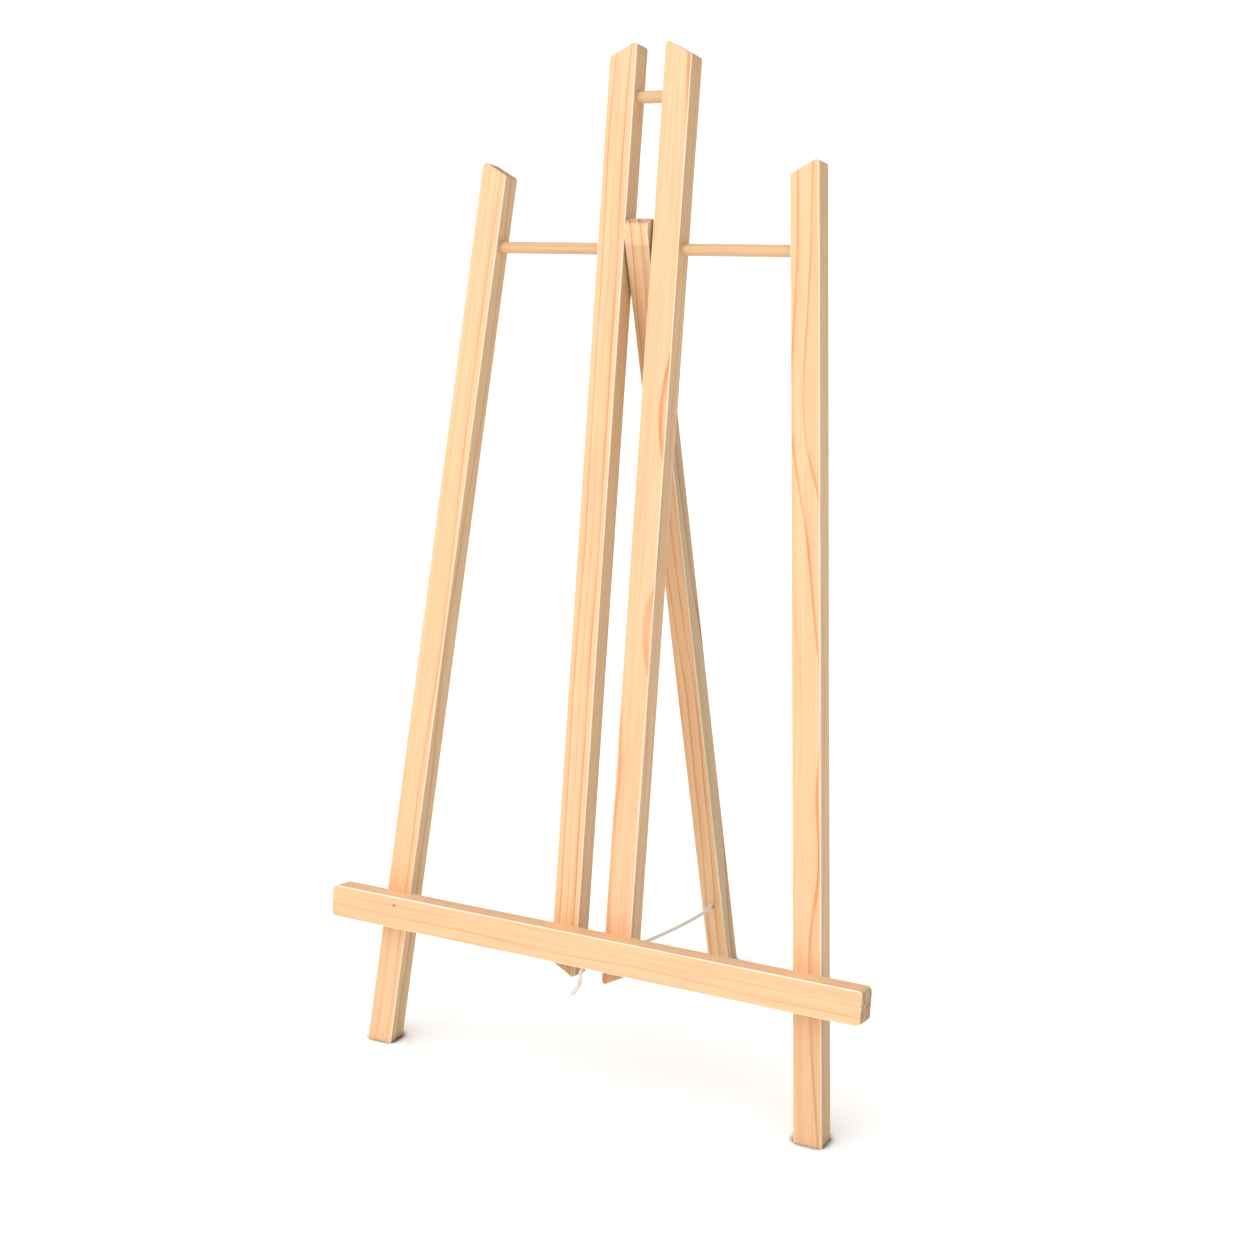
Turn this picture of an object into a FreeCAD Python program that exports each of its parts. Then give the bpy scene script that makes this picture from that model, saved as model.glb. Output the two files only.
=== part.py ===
"""A folding display easel in pine.

Two splayed front legs and two upright battens lean back in one plane, joined by a ledge bar
across their front faces and by a long round dowel near the top. A rear leg turns on that
dowel between the uprights, and a cord from the rear leg to the underside of the ledge stops
it from opening further.

Row frame: millimetres, +Z up, the front is -Y, X runs along the ledge. The origin is on the
floor, below the middle of the space that the three feet cover.

Frame pieces are drawn in the leaning plane: x across, y up the slope from the floor, and z
out of the front faces, which lie at z = 0. The rear leg is drawn about its hinge axis.
"""
import FreeCAD, Part
import math
import os
import Sketcher

DIMENSIONS = {
    "lean": 11.0,                # front frame, degrees back from vertical
    "rear_lean": 11.4,           # rear leg, degrees forward from vertical
    "batten_width": 25.0,        # legs and uprights, across the front
    "batten_depth": 20.0,        # legs, uprights and rear leg, front to back
    "end_cut": 23.5,             # sloping tops of the front legs, degrees from level
    "upright_cut": 27.0,         # sloping ends of the uprights, degrees from square
    "edge_round": 1.2,           # eased long edges
    "corner_round": 3.0,         # eased corners of the sloping ends
    "leg_half_floor": 210.5,     # front leg centre line from the middle, at the floor
    "leg_splay": 4.9,            # degrees
    "leg_top": 782.0,            # up the slope to the middle of the leg's end
    "foot_spare": 10.0,          # length below the floor that the foot cut takes off
    "upright_gap": 26.0,         # clear space between the uprights
    "upright_top": 878.0,
    "upright_bottom": 101.0,
    "ledge_length": 510.0,
    "ledge_height": 28.5,
    "ledge_depth": 22.0,
    "ledge_level": 127.0,        # up the slope to the middle of the bar
    "ledge_corner": 4.5,
    "dowel_diameter": 10.0,
    "hinge_level": 716.0,        # up the slope to the long dowel
    "cross_dowel_length": 304.0,
    "top_dowel_level": 840.0,
    "top_dowel_length": 56.0,
    "glue_gap": 0.3,             # left at the bottom of each blind bore
    "bore_break": 0.4,           # broken edge at each dowel bore's mouth
    "dowel_chamfer": 0.8,
    "rear_width": 22.0,
    "head_reach": 25.5,          # rear leg above the hinge axis
    "hinge_clearance": 0.1,      # radial, rear leg on the long dowel
    "cord_diameter": 3.5,
    "cord_hole": 5.0,
    "cord_hole_drop": 645.0,     # below the hinge axis, along the rear leg
    "knot_radius": 4.8,
    "knot_flat": 50.0,           # latitude of the knot's flat face, degrees
    "knot_tail": 12.0,
    "staple_wire": 1.1,
    "staple_out": 5.0,           # in front of the ledge's back face
    "staple_grip": 8.0,          # depth in the wood
    "cord_gap": 0.05,            # between the cord and the wood or wire round it
    "screw_diameter": 3.5,
    "screw_head": 7.0,
    "screw_length": 30.0,
    "screw_tip": 3.0,
    "screw_recess_width": 0.9,
    "screw_recess_span": 3.8,
    "screw_recess_depth": 1.5,
}

# Middle of the cord, in the row frame: through the rear leg, along under the ledge, then down.
CORD_ROUTE = [
    (0.0, 134.742, 70.639),
    (0.0, 110.235, 65.698),
    (0.0, 61.0, 71.3),
    (0.0, 12.0, 79.6),
    (0.0, -36.0, 89.0),
    (0.0, -80.0, 98.35),
    (0.0, -108.0, 104.75),
    (0.0, -125.0, 108.36),
    (0.0, -137.3, 110.75),
    (-0.4, -141.3, 107.4),
    (-1.4, -141.4, 99.4),
    (-4.2, -141.3, 91.2),
    (-9.8, -141.4, 85.0),
]
ARC_SHARE = 0.45                 # of the shorter run, taken by the arc at its end

X_AXIS = FreeCAD.Vector(1, 0, 0)
Z_AXIS = FreeCAD.Vector(0, 0, 1)
START_ANGLE = 90                 # before an expression sets it: a turn of 0 would lose its axis

# Expressions that several pieces share.
HINGE_Y = "(Dims.hinge_level * sin(Dims.lean) + Dims.batten_depth / 2 * cos(Dims.lean))"
HINGE_Z = "(Dims.hinge_level * cos(Dims.lean) - Dims.batten_depth / 2 * sin(Dims.lean))"
REAR_EDGE = (f"({HINGE_Y} + {HINGE_Z} * tan(Dims.rear_lean)"
             " + Dims.batten_depth / 2 / cos(Dims.rear_lean))")
HALF_ACROSS = "(Dims.batten_width / 2 / cos(Dims.leg_splay))"
LEG_CUT = "tan(Dims.end_cut + Dims.leg_splay)"
LEG_RISE = f"({LEG_CUT} * {HALF_ACROSS} / (1 + {LEG_CUT} * tan(Dims.leg_splay)))"
UPRIGHT_X = "((Dims.upright_gap + Dims.batten_width) / 2)"
UPRIGHT_RISE = "(tan(Dims.upright_cut) * Dims.batten_width / 2)"
LEDGE_BOTTOM = "(Dims.ledge_level - Dims.ledge_height / 2)"
CORD_LEVEL = f"({LEDGE_BOTTOM} - Dims.cord_diameter / 2 - Dims.cord_gap)"
STAPLE_RADIUS = "(Dims.cord_diameter / 2 + Dims.staple_wire / 2 + 2 * Dims.cord_gap)"
DOWEL_RADIUS = "Dims.dowel_diameter / 2"
MID_DEPTH = "-Dims.batten_depth / 2"


def leg_centre(level):
    """x of a front leg's centre line at a level up the slope."""
    return f"(Dims.leg_half_floor - ({level}) * tan(Dims.leg_splay))"


def add_dimensions(doc):
    sheet = doc.addObject("Spreadsheet::Sheet", "Dims")
    for row, (alias, value) in enumerate(DIMENSIONS.items(), 1):
        sheet.set(f"A{row}", alias)
        sheet.set(f"B{row}", str(value))
        sheet.setAlias(f"B{row}", alias)
    doc.recompute()


def lean_with_frame(piece):
    """Place a piece drawn in the leaning plane."""
    piece.Placement = FreeCAD.Placement(FreeCAD.Vector(), FreeCAD.Rotation(X_AXIS, START_ANGLE))
    piece.setExpression("Placement.Rotation.Angle", "90 - Dims.lean")
    piece.setExpression("Placement.Base.y", f"-{REAR_EDGE} / 2")


def lean_with_rear_leg(piece):
    """Place a piece drawn about the hinge axis, y up the rear leg and z out of its front."""
    piece.Placement = FreeCAD.Placement(FreeCAD.Vector(), FreeCAD.Rotation(X_AXIS, START_ANGLE))
    piece.setExpression("Placement.Rotation.Angle", "90 + Dims.rear_lean")
    piece.setExpression("Placement.Base.y", f"{HINGE_Y} - {REAR_EDGE} / 2")
    piece.setExpression("Placement.Base.z", HINGE_Z)


def new_body(doc, name):
    body = doc.addObject("PartDesign::Body", name)
    body.Label = name
    return body


def new_sketch(body, name, plane, offset=None):
    sketch = body.newObject("Sketcher::SketchObject", name)
    support = [item for item in body.Origin.OriginFeatures if item.Role == plane][0]
    sketch.AttachmentSupport = [(support, "")]
    sketch.MapMode = "FlatFace"
    if offset:
        sketch.setExpression("AttachmentOffset.Base.z", offset)
    return sketch


def pin_point(sketch, element, position, x, y):
    """Tie a point of a sketch element to a distance from the origin each way."""
    for kind, expression in (("DistanceX", x), ("DistanceY", y)):
        value = float(sketch.evalExpression(expression))
        constraint = Sketcher.Constraint(kind, -1, 1, element, position, value)
        index = sketch.addConstraint(constraint)
        sketch.setExpression(f"Constraints[{index}]", expression)


def start_points(sketch, points):
    return [FreeCAD.Vector(float(sketch.evalExpression(x)), float(sketch.evalExpression(y)), 0)
            for x, y in points]


def draw_polygon(sketch, points):
    corners = start_points(sketch, points)
    for start, end in zip(corners, corners[1:] + corners[:1]):
        sketch.addGeometry(Part.LineSegment(start, end))
    for index, (x, y) in enumerate(points):
        previous = (index - 1) % len(points)
        sketch.addConstraint(Sketcher.Constraint("Coincident", previous, 2, index, 1))
        pin_point(sketch, index, 1, x, y)


def draw_circle(sketch, x, y, radius):
    centre = start_points(sketch, [(x, y)])[0]
    size = float(sketch.evalExpression(radius))
    circle = sketch.addGeometry(Part.Circle(centre, Z_AXIS, size))
    pin_point(sketch, circle, 3, x, y)
    index = sketch.addConstraint(Sketcher.Constraint("Radius", circle, size))
    sketch.setExpression(f"Constraints[{index}]", radius)


def add_pad(body, sketch, name, length, side="One side", backwards=False):
    pad = body.newObject("PartDesign::Pad", name)
    pad.Profile = sketch
    pad.SideType = side
    pad.Reversed = backwards
    pad.setExpression("Length", length)
    body.Document.recompute()
    return pad


def add_pocket(body, sketch, name, side="Symmetric", length=None, backwards=False):
    """Cut a sketch out of the body, right through unless a length is given."""
    before = body.Shape.Volume
    pocket = body.newObject("PartDesign::Pocket", name)
    pocket.Profile = sketch
    pocket.SideType = side
    pocket.Type = "Length" if length else "ThroughAll"
    pocket.Reversed = backwards
    if length:
        pocket.setExpression("Length", length)
    body.Document.recompute()
    if body.Shape.Volume > before - 1.0:
        raise RuntimeError(f"{body.Label} {name} cuts nothing")
    return pocket


def ease_edges(body, name, radius, wanted):
    """Round the edges of the newest feature that pass a test."""
    base = body.Tip
    names = [f"Edge{i}" for i, edge in enumerate(base.Shape.Edges, 1) if wanted(edge)]
    fillet = body.newObject("PartDesign::Fillet", name)
    fillet.Base = (base, names)
    fillet.setExpression("Radius", radius)
    body.Document.recompute()
    return fillet


def runs_through(edge):
    """An edge straight from the front face to the back face."""
    ends = [vertex.Point for vertex in edge.Vertexes]
    return len(ends) == 2 and (ends[1] - ends[0]).normalize().isEqual(
        FreeCAD.Vector(0, 0, math.copysign(1, ends[1].z - ends[0].z)), 1e-6)


def upper_end(edge):
    return runs_through(edge) and edge.CenterOfMass.y > DIMENSIONS["hinge_level"]


def off_floor(placement):
    """A test for edges that don't lie in the foot's sole."""
    def test(edge):
        heights = [placement.multVec(vertex.Point).z for vertex in edge.Vertexes]
        return max(abs(height) for height in heights) > 1e-4
    return test


def countersink(body, name, radius):
    """Widen a screw hole at the back face for the screw's head."""
    base = body.Tip
    back = -DIMENSIONS["batten_depth"]
    names = [f"Edge{i}" for i, edge in enumerate(base.Shape.Edges, 1)
             if isinstance(edge.Curve, Part.Circle)
             and abs(edge.Curve.Radius - radius) < 1e-6
             and abs(edge.CenterOfMass.z - back) < 1e-6]
    chamfer = body.newObject("PartDesign::Chamfer", name)
    chamfer.Base = (base, names)
    chamfer.setExpression("Size", "(Dims.screw_head - Dims.screw_diameter) / 2")
    body.Document.recompute()


def bore_for_screw(body, x):
    sketch = new_sketch(body, body.Label + "_screw_sketch", "XY_Plane")
    draw_circle(sketch, x, "Dims.ledge_level", "Dims.screw_diameter / 2")
    add_pocket(body, sketch, body.Label + "_screw_hole")
    countersink(body, body.Label + "_countersink", DIMENSIONS["screw_diameter"] / 2)


def bore_blind(body, name, level, dowel_length, side):
    """A dowel's blind bore, open towards the middle of the easel."""
    bottom = f"{side} * ({dowel_length} / 2 + Dims.glue_gap)"
    sketch = new_sketch(body, name + "_sketch", "YZ_Plane", bottom)
    draw_circle(sketch, level, MID_DEPTH, DOWEL_RADIUS)
    add_pocket(body, sketch, name, "One side", backwards=side < 0)


def break_bore_mouths(body, name):
    """Chamfer the rim of each dowel bore where it opens on a side face of the batten."""
    base = body.Tip
    radius = DIMENSIONS["dowel_diameter"] / 2
    bores = [face for face in base.Shape.Faces if isinstance(face.Surface, Part.Cylinder)
             and abs(face.Surface.Radius - radius) < 1e-6 and abs(face.Surface.Axis.x) > 0.99]
    bottoms = [face for face in base.Shape.Faces if isinstance(face.Surface, Part.Plane)
               and abs(face.Area - math.pi * radius ** 2) < 1e-3]
    rims = [edge for bore in bores for edge in bore.Edges if len(edge.Vertexes) == 1
            and not any(edge.isSame(inner) for bottom in bottoms for inner in bottom.Edges)]
    names = [f"Edge{i}" for i, edge in enumerate(base.Shape.Edges, 1)
             if any(edge.isSame(rim) for rim in rims)]
    chamfer = body.newObject("PartDesign::Chamfer", name)
    chamfer.Base = (base, names)
    chamfer.setExpression("Size", "Dims.bore_break")
    body.Document.recompute()
    print(f"{name}: {len(names)} rims")


def make_front_leg(doc, name, side):
    body = new_body(doc, name)
    lean_with_frame(body)
    bottom = "-Dims.foot_spare"
    corners = []
    for edge, level in ((-1, bottom), (1, bottom), (1, f"(Dims.leg_top + {LEG_RISE})"),
                        (-1, f"(Dims.leg_top - {LEG_RISE})")):
        corners.append((f"{side} * ({leg_centre(level)} + {edge} * {HALF_ACROSS})", level))
    outline = new_sketch(body, name + "_outline", "XY_Plane")
    draw_polygon(outline, corners)
    add_pad(body, outline, name + "_batten", "Dims.batten_depth", backwards=True)
    floor = new_sketch(body, name + "_floor_line", "YZ_Plane")
    draw_polygon(floor, [
        ("-Dims.foot_spare * tan(Dims.lean)", "Dims.foot_spare"),
        ("2 * Dims.batten_depth * tan(Dims.lean)", "-2 * Dims.batten_depth"),
        ("-3 * Dims.foot_spare", "-2 * Dims.batten_depth"),
        ("-3 * Dims.foot_spare", "Dims.foot_spare")])
    add_pocket(body, floor, name + "_foot_cut")
    ease_edges(body, name + "_corners", "Dims.corner_round", upper_end)
    ease_edges(body, name + "_edges", "Dims.edge_round", off_floor(body.Placement))
    bore_blind(body, name + "_dowel_bore", "Dims.hinge_level", "Dims.cross_dowel_length", side)
    break_bore_mouths(body, name + "_bore_rims")
    bore_for_screw(body, f"{side} * {leg_centre('Dims.ledge_level')}")
    return body


def make_upright(doc, name, side):
    body = new_body(doc, name)
    lean_with_frame(body)
    corners = []
    for edge, level in ((-1, f"(Dims.upright_bottom - {UPRIGHT_RISE})"),
                        (1, f"(Dims.upright_bottom + {UPRIGHT_RISE})"),
                        (1, f"(Dims.upright_top - {UPRIGHT_RISE})"),
                        (-1, f"(Dims.upright_top + {UPRIGHT_RISE})")):
        corners.append((f"{side} * ({UPRIGHT_X} + {edge} * Dims.batten_width / 2)", level))
    outline = new_sketch(body, name + "_outline", "XY_Plane")
    draw_polygon(outline, corners)
    add_pad(body, outline, name + "_batten", "Dims.batten_depth", backwards=True)
    ease_edges(body, name + "_corners", "Dims.corner_round", runs_through)
    ease_edges(body, name + "_edges", "Dims.edge_round", lambda edge: True)
    hinge = new_sketch(body, name + "_hinge_sketch", "YZ_Plane")
    draw_circle(hinge, "Dims.hinge_level", MID_DEPTH, DOWEL_RADIUS)
    add_pocket(body, hinge, name + "_hinge_bore")
    bore_blind(body, name + "_top_bore", "Dims.top_dowel_level", "Dims.top_dowel_length", side)
    break_bore_mouths(body, name + "_bore_rims")
    bore_for_screw(body, f"{side} * {UPRIGHT_X}")
    return body


def make_ledge(doc):
    body = new_body(doc, "ledge")
    lean_with_frame(body)
    corners = [(f"{x} * Dims.ledge_length / 2", f"(Dims.ledge_level + {y} * Dims.ledge_height / 2)")
               for x, y in ((-1, -1), (1, -1), (1, 1), (-1, 1))]
    outline = new_sketch(body, "ledge_outline", "XY_Plane")
    draw_polygon(outline, corners)
    add_pad(body, outline, "ledge_bar", "Dims.ledge_depth")
    ease_edges(body, "ledge_corners", "Dims.ledge_corner", runs_through)
    ease_edges(body, "ledge_edges", "Dims.edge_round", lambda edge: True)
    pilots = new_sketch(body, "ledge_pilot_sketch", "XY_Plane")
    for side in (-1, 1):
        for x in (UPRIGHT_X, leg_centre("Dims.ledge_level")):
            draw_circle(pilots, f"{side} * {x}", "Dims.ledge_level", "Dims.screw_diameter / 2")
    add_pocket(body, pilots, "ledge_pilot_holes", "One side",
               "Dims.screw_length - Dims.batten_depth", backwards=True)
    prongs = new_sketch(body, "ledge_staple_sketch", "XZ_Plane", f"-{LEDGE_BOTTOM}")
    for side in (-1, 1):
        draw_circle(prongs, f"{side} * {STAPLE_RADIUS}", "Dims.staple_out", "Dims.staple_wire / 2")
    add_pocket(body, prongs, "ledge_staple_holes", "One side", "Dims.staple_grip")
    return body


def make_dowel(doc, name, level, length):
    body = new_body(doc, name)
    lean_with_frame(body)
    section = new_sketch(body, name + "_section", "YZ_Plane")
    draw_circle(section, level, MID_DEPTH, DOWEL_RADIUS)
    rod = add_pad(body, section, name + "_rod", length, "Symmetric")
    chamfer = body.newObject("PartDesign::Chamfer", name + "_ends")
    chamfer.Base = (rod, [f"Edge{i}" for i, edge in enumerate(rod.Shape.Edges, 1)
                          if isinstance(edge.Curve, Part.Circle)])
    chamfer.setExpression("Size", "Dims.dowel_chamfer")
    return body


def make_rear_leg(doc):
    body = new_body(doc, "rear_leg")
    lean_with_rear_leg(body)
    sole = f"-{HINGE_Z} / cos(Dims.rear_lean)"
    shift = "Dims.batten_depth / 2 * tan(Dims.rear_lean)"
    shoulder = "(Dims.head_reach - Dims.batten_depth / 2)"
    points = [(shoulder, "-Dims.batten_depth / 2"), (f"{sole} - {shift}", "-Dims.batten_depth / 2"),
              (f"{sole} + {shift}", "Dims.batten_depth / 2"), (shoulder, "Dims.batten_depth / 2")]
    profile = new_sketch(body, "rear_leg_profile", "YZ_Plane")
    corners = start_points(profile, points)
    for start, end in zip(corners, corners[1:]):
        profile.addGeometry(Part.LineSegment(start, end))
    centre = (corners[0] + corners[3]) / 2
    head = Part.ArcOfCircle(Part.Circle(centre, Z_AXIS, corners[3].y), -math.pi / 2, math.pi / 2)
    arc = profile.addGeometry(head)
    for index in (1, 2):
        profile.addConstraint(Sketcher.Constraint("Coincident", index - 1, 2, index, 1))
    profile.addConstraint(Sketcher.Constraint("Tangent", 0, 1, arc, 1))
    profile.addConstraint(Sketcher.Constraint("Coincident", 2, 2, arc, 2))
    for index in (0, 1, 2):
        pin_point(profile, index, 1, *points[index])
    pin_point(profile, 2, 2, *points[3])
    add_pad(body, profile, "rear_leg_batten", "Dims.rear_width", "Symmetric")
    ease_edges(body, "rear_leg_edges", "Dims.edge_round", off_floor(body.Placement))
    hinge = new_sketch(body, "rear_leg_hinge_sketch", "YZ_Plane")
    draw_circle(hinge, "0", "0", f"({DOWEL_RADIUS} + Dims.hinge_clearance)")
    add_pocket(body, hinge, "rear_leg_hinge_bore")
    hole = new_sketch(body, "rear_leg_cord_sketch", "XY_Plane")
    draw_circle(hole, "0", "-Dims.cord_hole_drop", "Dims.cord_hole / 2")
    add_pocket(body, hole, "rear_leg_cord_hole")
    return body


def primitive(doc, kind, name, **sizes):
    piece = doc.addObject("Part::" + kind, name)
    for prop, expression in sizes.items():
        piece.setExpression(prop, expression)
    return piece


def set_base(piece, x, y, z):
    for axis, expression in zip("xyz", (x, y, z)):
        piece.setExpression(f"Placement.Base.{axis}", expression)


def fuse(doc, name, pieces):
    joined = doc.addObject("Part::MultiFuse", name)
    joined.Shapes = pieces
    return joined


def make_screw(doc, name, x):
    """One countersunk wood screw, its head flush with the back of a batten."""
    sink = "(Dims.screw_head - Dims.screw_diameter) / 2"
    radius = "Dims.screw_diameter / 2"
    back = "-Dims.batten_depth"
    head = primitive(doc, "Cone", name + "_head", Radius1="Dims.screw_head / 2",
                     Radius2=radius, Height=sink)
    set_base(head, x, "Dims.ledge_level", back)
    shank = primitive(doc, "Cylinder", name + "_shank", Radius=radius,
                      Height=f"Dims.screw_length - Dims.screw_tip - {sink}")
    set_base(shank, x, "Dims.ledge_level", f"{back} + {sink}")
    tip = primitive(doc, "Cone", name + "_tip", Radius1=radius,
                    Radius2="Dims.screw_diameter / 10", Height="Dims.screw_tip")
    set_base(tip, x, "Dims.ledge_level", f"{back} + Dims.screw_length - Dims.screw_tip")
    bars = []
    for index, (span_x, span_y) in enumerate((("span", "width"), ("width", "span"))):
        bar = primitive(doc, "Box", f"{name}_recess_bar_{index}",
                        Length=f"Dims.screw_recess_{span_x}", Width=f"Dims.screw_recess_{span_y}",
                        Height="2 * Dims.screw_recess_depth")
        set_base(bar, f"{x} - Dims.screw_recess_{span_x} / 2",
                 f"Dims.ledge_level - Dims.screw_recess_{span_y} / 2",
                 f"{back} - Dims.screw_recess_depth")
        bars.append(bar)
    screw = doc.addObject("Part::Cut", name)
    screw.Base = fuse(doc, name + "_blank", [head, shank, tip])
    screw.Tool = fuse(doc, name + "_recess", bars)
    return screw


def make_ledge_screws(doc):
    screws = []
    for side_name, side in (("left", -1), ("right", 1)):
        for place, x in (("leg", leg_centre("Dims.ledge_level")), ("upright", UPRIGHT_X)):
            screws.append(make_screw(doc, f"screw_{side_name}_{place}", f"{side} * {x}"))
    group = doc.addObject("Part::Compound", "ledge_screws")
    group.Links = screws
    lean_with_frame(group)
    return group


def make_cord_staple(doc):
    """A round-wire staple over the cord, driven up into the ledge's underside."""
    crown = primitive(doc, "Torus", "staple_crown", Radius1=STAPLE_RADIUS,
                      Radius2="Dims.staple_wire / 2")
    crown.Angle3 = 180
    crown.Placement.Rotation = FreeCAD.Rotation(Z_AXIS, 180)
    set_base(crown, "0", CORD_LEVEL, "Dims.staple_out")
    pieces = [crown]
    for name, side in (("left", -1), ("right", 1)):
        prong = primitive(doc, "Cylinder", f"staple_prong_{name}", Radius="Dims.staple_wire / 2",
                          Height=f"{LEDGE_BOTTOM} - {CORD_LEVEL} + Dims.staple_grip")
        prong.Placement.Rotation = FreeCAD.Rotation(X_AXIS, -90)
        set_base(prong, f"{side} * {STAPLE_RADIUS}", CORD_LEVEL, "Dims.staple_out")
        pieces.append(prong)
    staple = fuse(doc, "cord_staple", pieces)
    lean_with_frame(staple)
    return staple


def make_cord_knot(doc):
    """The knot behind the rear leg, flat against the wood, with its short tail."""
    flat = "Dims.knot_radius * sin(Dims.knot_flat)"
    centre = f"-Dims.batten_depth / 2 - {flat}"
    ball = primitive(doc, "Sphere", "knot_ball", Radius="Dims.knot_radius",
                     Angle1="-Dims.knot_flat")
    ball.Placement.Rotation = FreeCAD.Rotation(X_AXIS, 180)
    set_base(ball, "0", "-Dims.cord_hole_drop", centre)
    tail = primitive(doc, "Cylinder", "knot_tail", Radius="Dims.cord_diameter / 2",
                     Height="Dims.knot_tail")
    tail.Placement.Rotation = FreeCAD.Rotation(X_AXIS, 90)
    set_base(tail, "0", "-Dims.cord_hole_drop", centre)
    knot = fuse(doc, "cord_knot", [ball, tail])
    lean_with_rear_leg(knot)
    return knot


def rounded_path(points):
    """Straight runs joined by tangent arcs, each as large as its two runs allow."""
    edges = []
    start = points[0]
    for before, corner, after in zip(points, points[1:], points[2:]):
        incoming = (corner - before).normalize()
        outgoing = (after - corner).normalize()
        turn = incoming.getAngle(outgoing)
        reach = ARC_SHARE * min((corner - before).Length, (after - corner).Length)
        radius = reach / math.tan(turn / 2)
        print(f"cord turn {math.degrees(turn):.1f} degrees, radius {radius:.1f} mm")
        arc_start = corner - incoming * reach
        arc_end = corner + outgoing * reach
        inward = (outgoing - incoming).normalize()
        middle = corner + inward * (radius / math.cos(turn / 2) - radius)
        edges.append(Part.LineSegment(start, arc_start).toShape())
        edges.append(Part.Arc(arc_start, middle, arc_end).toShape())
        start = arc_end
    edges.append(Part.LineSegment(start, points[-1]).toShape())
    return Part.Wire(edges)


def make_cord(doc):
    points = [FreeCAD.Vector(*point) for point in CORD_ROUTE]
    path = doc.addObject("Part::Feature", "cord_path")
    path.Shape = rounded_path(points)
    section = primitive(doc, "Circle", "cord_section", Radius="Dims.cord_diameter / 2")
    aim = FreeCAD.Rotation(Z_AXIS, points[1] - points[0])
    section.Placement = FreeCAD.Placement(points[0], aim)
    cord = doc.addObject("Part::Sweep", "cord")
    cord.Sections = [section]
    cord.Spine = (path, [f"Edge{i}" for i in range(1, len(path.Shape.Edges) + 1)])
    cord.Solid = True
    cord.Frenet = False
    doc.recompute()
    area = math.pi * DIMENSIONS["cord_diameter"] ** 2 / 4
    length = path.Shape.Length
    print(f"cord length {length:.1f} mm, volume {cord.Shape.Volume:.1f} mm3,"
          f" section times length {area * length:.1f} mm3")
    return cord


def check_document(doc):
    for item in doc.Objects:
        if "Invalid" in item.State or "Error" in item.State:
            raise RuntimeError(f"{item.Label} has state {item.State}")


def export_parts(pieces):
    os.makedirs("parts", exist_ok=True)
    for piece in pieces:
        if piece.Shape.isNull() or not piece.Shape.isValid():
            raise RuntimeError(f"{piece.Label} has no valid shape")
        piece.Shape.exportStep(f"parts/{piece.Label}.step")
        print(f"{piece.Label}: {len(piece.Shape.Solids)} solid, {piece.Shape.Volume:.0f} mm3")


def main():
    doc = FreeCAD.newDocument("easel")
    add_dimensions(doc)
    pieces = [
        make_front_leg(doc, "left_leg", -1),
        make_front_leg(doc, "right_leg", 1),
        make_upright(doc, "left_upright", -1),
        make_upright(doc, "right_upright", 1),
        make_ledge(doc),
        make_ledge_screws(doc),
        make_dowel(doc, "cross_dowel", "Dims.hinge_level", "Dims.cross_dowel_length"),
        make_dowel(doc, "top_dowel", "Dims.top_dowel_level", "Dims.top_dowel_length"),
        make_rear_leg(doc),
        make_cord(doc),
        make_cord_knot(doc),
        make_cord_staple(doc),
    ]
    doc.recompute()
    check_document(doc)
    export_parts(pieces)


main()
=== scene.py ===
"""The folding display easel in a pale studio.

Metres, in the CAD model's frame: +Z up, the front is -Y, X runs along the ledge. The wooden
pieces are CAD nodes with a solid pine material laid along each piece's own grain. The cord is
a braided mesh tube along a smooth spline.
"""

import math

import bpy
from mathutils import Matrix, Vector


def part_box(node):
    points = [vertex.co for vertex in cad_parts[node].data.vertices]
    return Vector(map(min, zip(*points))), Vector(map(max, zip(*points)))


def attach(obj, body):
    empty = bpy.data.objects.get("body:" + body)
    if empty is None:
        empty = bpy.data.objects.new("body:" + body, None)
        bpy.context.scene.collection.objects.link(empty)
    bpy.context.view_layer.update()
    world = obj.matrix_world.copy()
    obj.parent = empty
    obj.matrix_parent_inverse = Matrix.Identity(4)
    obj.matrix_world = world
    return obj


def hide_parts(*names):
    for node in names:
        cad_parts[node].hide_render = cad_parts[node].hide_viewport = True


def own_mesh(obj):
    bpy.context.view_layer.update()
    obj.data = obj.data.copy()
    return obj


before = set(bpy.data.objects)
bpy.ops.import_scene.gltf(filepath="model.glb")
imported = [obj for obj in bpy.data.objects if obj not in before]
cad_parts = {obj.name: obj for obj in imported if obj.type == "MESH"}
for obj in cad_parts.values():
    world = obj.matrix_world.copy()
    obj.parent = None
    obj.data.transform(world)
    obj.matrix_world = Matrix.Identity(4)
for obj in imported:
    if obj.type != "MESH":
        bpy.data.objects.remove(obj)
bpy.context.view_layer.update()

MM = 0.001

# Directions in the easel. The front legs and the uprights lean back in one plane.
LEAN = math.radians(11.0)
REAR_LEAN = math.radians(11.4)
LEG_SPLAY = math.radians(4.9)
ACROSS = Vector((1, 0, 0))
UP_SLOPE = Vector((0, math.sin(LEAN), math.cos(LEAN)))
FRONT = Vector((0, -math.cos(LEAN), math.sin(LEAN)))
UP_REAR = Vector((0, -math.sin(REAR_LEAN), math.cos(REAR_LEAN)))
REAR_FRONT = Vector((0, -math.cos(REAR_LEAN), -math.sin(REAR_LEAN)))


def middle(node):
    """The middle of a CAD node's box."""
    low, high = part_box(node)
    return (low + high) / 2


# ---------------------------------------------------------------- camera

CAMERA_PLACE = Vector((0.740, -1.4176, 0.8048))
CAMERA_YAW = math.radians(28.335)
CAMERA_PITCH = math.radians(-15.006)
CAMERA_ROLL = math.radians(-1.304)
CAMERA_LENS = 54.28
CAMERA_SENSOR = 36


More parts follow.
